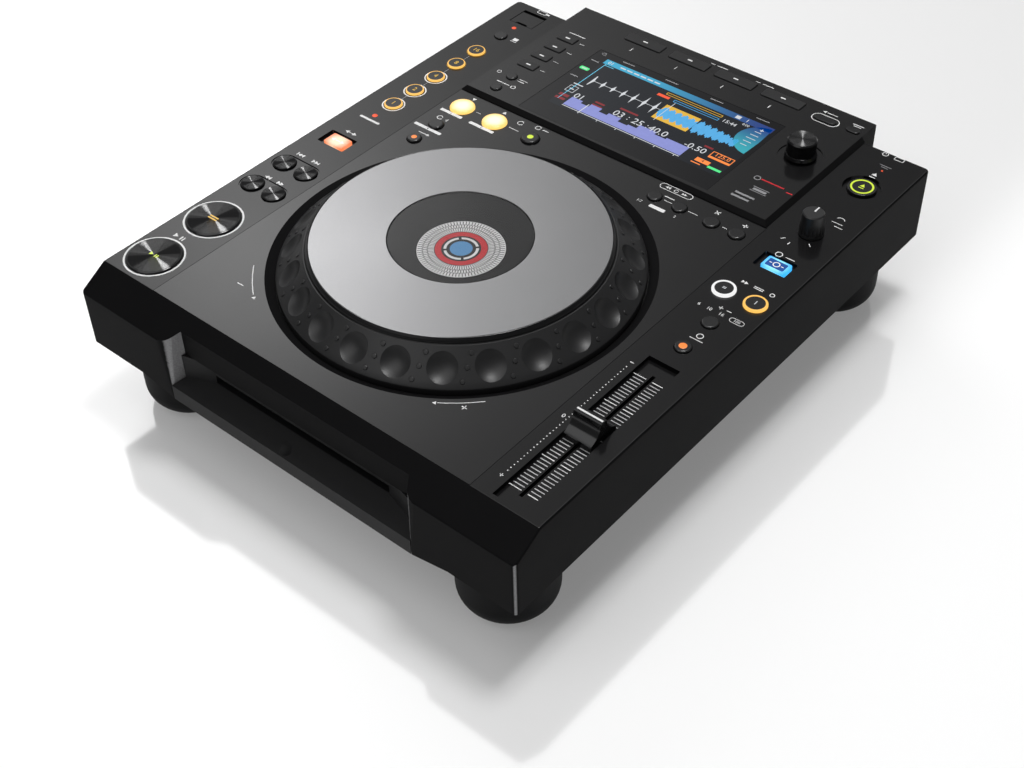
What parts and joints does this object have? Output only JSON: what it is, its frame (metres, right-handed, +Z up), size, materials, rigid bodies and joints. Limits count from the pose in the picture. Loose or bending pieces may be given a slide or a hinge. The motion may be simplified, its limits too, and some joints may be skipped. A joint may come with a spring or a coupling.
{
  "type": "tabletop dj disc player",
  "caption": "Tabletop DJ player with jog wheel, disc slot in the front, raised display, push buttons, rotary selector, tempo fader and four round legs.",
  "frame": {"origin": "on the table under the middle of the player", "axes": "+Z up, +Y towards the rear with the connectors, +X to the user's right; the disc slot faces -Y"},
  "size_m": [0.305, 0.384, 0.1065],
  "materials": {
    "housing": "fine textured black",
    "panel": "fine textured black",
    "bezel": "satin black",
    "pan": "satin black",
    "rubber": "soft black",
    "screws": "blackened",
    "display_frame": "satin black",
    "window": "polished black",
    "sockets": "satin black plate with socket shells",
    "drive_case": "sheet metal",
    "boards": "circuit board green",
    "inner_plastic": "plain",
    "jog": "black wheel with brushed aluminium disc",
    "spindle": "turntable",
    "cover": "fine textured black",
    "shaft": "turned",
    "knob": "satin black",
    "fader_cap": "satin black with a white line",
    "gloss_button": "polished black with a bright rim",
    "button": "satin black",
    "lit_amber": "translucent, lit",
    "lit_cyan": "translucent, lit"
  },
  "bodies": {
    "player": {"top_housing": "housing", "centre_panel": "panel", "slot_bezel": "bezel", "bottom_pan": "pan", "rubber_feet": "rubber", "case_screws": "screws", "display_frame": "display_frame", "display_window": "window", "rear_panel": "sockets", "disc_drive": "drive_case", "control_boards": "boards", "jog_plinth": "inner_plastic"},
    "jog_wheel": {"jog_wheel": "jog"},
    "drive_spindle": {"drive_spindle": "spindle"},
    "usb_cover": {"usb_cover": "cover"},
    "selector_shaft": {"selector_shaft": "shaft"},
    "selector_knob": {"selector_knob": "knob"},
    "vinyl_speed_knob": {"vinyl_speed_knob": "knob"},
    "tempo_fader": {"tempo_fader": "fader_cap"},
    "power_button": {"power_button": "knob"},
    "play_pause_button": {"play_pause_button": "gloss_button"},
    "cue_button": {"cue_button": "gloss_button"},
    "search_back_button": {"search_back_button": "button"},
    "search_forward_button": {"search_forward_button": "button"},
    "track_back_button": {"track_back_button": "button"},
    "track_forward_button": {"track_forward_button": "button"},
    "direction_button": {"direction_button": "lit_amber"},
    "usb_stop_button": {"usb_stop_button": "button"},
    "four_beat_button": {"four_beat_button": "button"},
    "slip_button": {"slip_button": "button"},
    "loop_in_button": {"loop_in_button": "button"},
    "loop_out_button": {"loop_out_button": "button"},
    "reloop_button": {"reloop_button": "button"},
    "call_back_button": {"call_back_button": "button"},
    "call_next_button": {"call_next_button": "button"},
    "delete_button": {"delete_button": "button"},
    "memory_button": {"memory_button": "button"},
    "time_mode_button": {"time_mode_button": "button"},
    "quantize_button": {"quantize_button": "button"},
    "back_button": {"back_button": "button"},
    "tag_button": {"tag_button": "button"},
    "eject_button": {"eject_button": "button"},
    "jog_mode_button": {"jog_mode_button": "lit_cyan"},
    "sync_button": {"sync_button": "button"},
    "master_button": {"master_button": "button"},
    "tempo_range_button": {"tempo_range_button": "button"},
    "master_tempo_button": {"master_tempo_button": "button"},
    "beat_button_1": {"beat_button_1": "button"},
    "beat_button_2": {"beat_button_2": "button"},
    "beat_button_3": {"beat_button_3": "button"},
    "beat_button_4": {"beat_button_4": "button"},
    "beat_button_5": {"beat_button_5": "button"},
    "display_key_1": {"display_key_1": "button"},
    "display_key_2": {"display_key_2": "button"},
    "display_key_3": {"display_key_3": "button"},
    "display_key_4": {"display_key_4": "button"},
    "top_key_1": {"top_key_1": "button"},
    "top_key_2": {"top_key_2": "button"},
    "top_key_3": {"top_key_3": "button"},
    "top_key_4": {"top_key_4": "button"}
  },
  "joints": [
    {"name": "jog_spin", "type": "hinge", "parent": "player", "child": "jog_wheel", "pos_m": [0, -0.0543, 0.09], "axis": [0, 0, 1], "continuous": true},
    {"name": "spindle_spin", "type": "hinge", "parent": "player", "child": "drive_spindle", "pos_m": [0, -0.098, 0.05], "axis": [0, 0, 1], "continuous": true},
    {"name": "usb_cover_hinge", "type": "hinge", "parent": "player", "child": "usb_cover", "pos_m": [-0.132, 0.1658, 0.0866], "axis": [-1, 0, 0], "range_deg": [0, 100]},
    {"name": "selector_push", "type": "slide", "parent": "player", "child": "selector_shaft", "axis": [0, 0, -1], "range_m": [0, 0.0006], "stiffness_N_per_m": 400, "springref_m": -0.002},
    {"name": "selector_turn", "type": "hinge", "parent": "selector_shaft", "child": "selector_knob", "pos_m": [0.0898, 0.1372, 0.1], "axis": [0, 0, 1], "continuous": true},
    {"name": "vinyl_speed_turn", "type": "hinge", "parent": "player", "child": "vinyl_speed_knob", "pos_m": [0.1313, 0.0834, 0.095], "axis": [0, 0, 1], "range_deg": [-150, 150]},
    {"name": "tempo_slide", "type": "slide", "parent": "player", "child": "tempo_fader", "axis": [0, 1, 0], "range_m": [-0.05, 0.05]},
    {"name": "power_button_push", "type": "slide", "parent": "player", "child": "power_button", "axis": [0, -1, 0], "range_m": [0, 0.002], "stiffness_N_per_m": 300, "springref_m": -0.002},
    {"name": "play_pause_button_push", "type": "slide", "parent": "player", "child": "play_pause_button", "axis": [0, 0, -1], "range_m": [0, 0.001], "stiffness_N_per_m": 250, "springref_m": -0.0015},
    {"name": "cue_button_push", "type": "slide", "parent": "player", "child": "cue_button", "axis": [0, 0, -1], "range_m": [0, 0.001], "stiffness_N_per_m": 250, "springref_m": -0.0015},
    {"name": "search_back_button_push", "type": "slide", "parent": "player", "child": "search_back_button", "axis": [0, 0, -1], "range_m": [0, 0.0008], "stiffness_N_per_m": 200, "springref_m": -0.0015},
    {"name": "search_forward_button_push", "type": "slide", "parent": "player", "child": "search_forward_button", "axis": [0, 0, -1], "range_m": [0, 0.0008], "stiffness_N_per_m": 200, "springref_m": -0.0015},
    {"name": "track_back_button_push", "type": "slide", "parent": "player", "child": "track_back_button", "axis": [0, 0, -1], "range_m": [0, 0.0008], "stiffness_N_per_m": 200, "springref_m": -0.0015},
    {"name": "track_forward_button_push", "type": "slide", "parent": "player", "child": "track_forward_button", "axis": [0, 0, -1], "range_m": [0, 0.0008], "stiffness_N_per_m": 200, "springref_m": -0.0015},
    {"name": "direction_button_push", "type": "slide", "parent": "player", "child": "direction_button", "axis": [0, 0, -1], "range_m": [0, 0.0008], "stiffness_N_per_m": 200, "springref_m": -0.0015},
    {"name": "usb_stop_button_push", "type": "slide", "parent": "player", "child": "usb_stop_button", "axis": [0, 0, -1], "range_m": [0, 0.0008], "stiffness_N_per_m": 200, "springref_m": -0.0015},
    {"name": "four_beat_button_push", "type": "slide", "parent": "player", "child": "four_beat_button", "axis": [0, 0, -1], "range_m": [0, 0.0008], "stiffness_N_per_m": 200, "springref_m": -0.0015},
    {"name": "slip_button_push", "type": "slide", "parent": "player", "child": "slip_button", "axis": [0, 0, -1], "range_m": [0, 0.0008], "stiffness_N_per_m": 200, "springref_m": -0.0015},
    {"name": "loop_in_button_push", "type": "slide", "parent": "player", "child": "loop_in_button", "axis": [0, 0, -1], "range_m": [0, 0.0008], "stiffness_N_per_m": 200, "springref_m": -0.0015},
    {"name": "loop_out_button_push", "type": "slide", "parent": "player", "child": "loop_out_button", "axis": [0, 0, -1], "range_m": [0, 0.0008], "stiffness_N_per_m": 200, "springref_m": -0.0015},
    {"name": "reloop_button_push", "type": "slide", "parent": "player", "child": "reloop_button", "axis": [0, 0, -1], "range_m": [0, 0.0008], "stiffness_N_per_m": 200, "springref_m": -0.0015},
    {"name": "call_back_button_push", "type": "slide", "parent": "player", "child": "call_back_button", "axis": [0, 0, -1], "range_m": [0, 0.0008], "stiffness_N_per_m": 200, "springref_m": -0.0015},
    {"name": "call_next_button_push", "type": "slide", "parent": "player", "child": "call_next_button", "axis": [0, 0, -1], "range_m": [0, 0.0008], "stiffness_N_per_m": 200, "springref_m": -0.0015},
    {"name": "delete_button_push", "type": "slide", "parent": "player", "child": "delete_button", "axis": [0, 0, -1], "range_m": [0, 0.0008], "stiffness_N_per_m": 200, "springref_m": -0.0015},
    {"name": "memory_button_push", "type": "slide", "parent": "player", "child": "memory_button", "axis": [0, 0, -1], "range_m": [0, 0.0008], "stiffness_N_per_m": 200, "springref_m": -0.0015},
    {"name": "time_mode_button_push", "type": "slide", "parent": "player", "child": "time_mode_button", "axis": [0, 0, -1], "range_m": [0, 0.0005], "stiffness_N_per_m": 200, "springref_m": -0.0015},
    {"name": "quantize_button_push", "type": "slide", "parent": "player", "child": "quantize_button", "axis": [0, 0, -1], "range_m": [0, 0.0005], "stiffness_N_per_m": 200, "springref_m": -0.0015},
    {"name": "back_button_push", "type": "slide", "parent": "player", "child": "back_button", "axis": [0, 0, -1], "range_m": [0, 0.0005], "stiffness_N_per_m": 200, "springref_m": -0.0015},
    {"name": "tag_button_push", "type": "slide", "parent": "player", "child": "tag_button", "axis": [0, 0, -1], "range_m": [0, 0.0005], "stiffness_N_per_m": 200, "springref_m": -0.0015},
    {"name": "eject_button_push", "type": "slide", "parent": "player", "child": "eject_button", "axis": [0, 0, -1], "range_m": [0, 0.0008], "stiffness_N_per_m": 200, "springref_m": -0.0015},
    {"name": "jog_mode_button_push", "type": "slide", "parent": "player", "child": "jog_mode_button", "axis": [0, 0, -1], "range_m": [0, 0.0008], "stiffness_N_per_m": 200, "springref_m": -0.0015},
    {"name": "sync_button_push", "type": "slide", "parent": "player", "child": "sync_button", "axis": [0, 0, -1], "range_m": [0, 0.0008], "stiffness_N_per_m": 200, "springref_m": -0.0015},
    {"name": "master_button_push", "type": "slide", "parent": "player", "child": "master_button", "axis": [0, 0, -1], "range_m": [0, 0.0008], "stiffness_N_per_m": 200, "springref_m": -0.0015},
    {"name": "tempo_range_button_push", "type": "slide", "parent": "player", "child": "tempo_range_button", "axis": [0, 0, -1], "range_m": [0, 0.0008], "stiffness_N_per_m": 200, "springref_m": -0.0015},
    {"name": "master_tempo_button_push", "type": "slide", "parent": "player", "child": "master_tempo_button", "axis": [0, 0, -1], "range_m": [0, 0.0008], "stiffness_N_per_m": 200, "springref_m": -0.0015},
    {"name": "beat_button_1_push", "type": "slide", "parent": "player", "child": "beat_button_1", "axis": [0, 0, -1], "range_m": [0, 0.0008], "stiffness_N_per_m": 200, "springref_m": -0.0015},
    {"name": "beat_button_2_push", "type": "slide", "parent": "player", "child": "beat_button_2", "axis": [0, 0, -1], "range_m": [0, 0.0008], "stiffness_N_per_m": 200, "springref_m": -0.0015},
    {"name": "beat_button_3_push", "type": "slide", "parent": "player", "child": "beat_button_3", "axis": [0, 0, -1], "range_m": [0, 0.0008], "stiffness_N_per_m": 200, "springref_m": -0.0015},
    {"name": "beat_button_4_push", "type": "slide", "parent": "player", "child": "beat_button_4", "axis": [0, 0, -1], "range_m": [0, 0.0008], "stiffness_N_per_m": 200, "springref_m": -0.0015},
    {"name": "beat_button_5_push", "type": "slide", "parent": "player", "child": "beat_button_5", "axis": [0, 0, -1], "range_m": [0, 0.0008], "stiffness_N_per_m": 200, "springref_m": -0.0015},
    {"name": "display_key_1_push", "type": "slide", "parent": "player", "child": "display_key_1", "axis": [0, 0, -1], "range_m": [0, 0.0005], "stiffness_N_per_m": 200, "springref_m": -0.0015},
    {"name": "display_key_2_push", "type": "slide", "parent": "player", "child": "display_key_2", "axis": [0, 0, -1], "range_m": [0, 0.0005], "stiffness_N_per_m": 200, "springref_m": -0.0015},
    {"name": "display_key_3_push", "type": "slide", "parent": "player", "child": "display_key_3", "axis": [0, 0, -1], "range_m": [0, 0.0005], "stiffness_N_per_m": 200, "springref_m": -0.0015},
    {"name": "display_key_4_push", "type": "slide", "parent": "player", "child": "display_key_4", "axis": [0, 0, -1], "range_m": [0, 0.0005], "stiffness_N_per_m": 200, "springref_m": -0.0015},
    {"name": "top_key_1_push", "type": "slide", "parent": "player", "child": "top_key_1", "axis": [0, 0, -1], "range_m": [0, 0.0005], "stiffness_N_per_m": 200, "springref_m": -0.0015},
    {"name": "top_key_2_push", "type": "slide", "parent": "player", "child": "top_key_2", "axis": [0, 0, -1], "range_m": [0, 0.0005], "stiffness_N_per_m": 200, "springref_m": -0.0015},
    {"name": "top_key_3_push", "type": "slide", "parent": "player", "child": "top_key_3", "axis": [0, 0, -1], "range_m": [0, 0.0005], "stiffness_N_per_m": 200, "springref_m": -0.0015},
    {"name": "top_key_4_push", "type": "slide", "parent": "player", "child": "top_key_4", "axis": [0, 0, -1], "range_m": [0, 0.0005], "stiffness_N_per_m": 200, "springref_m": -0.0015}
  ]
}
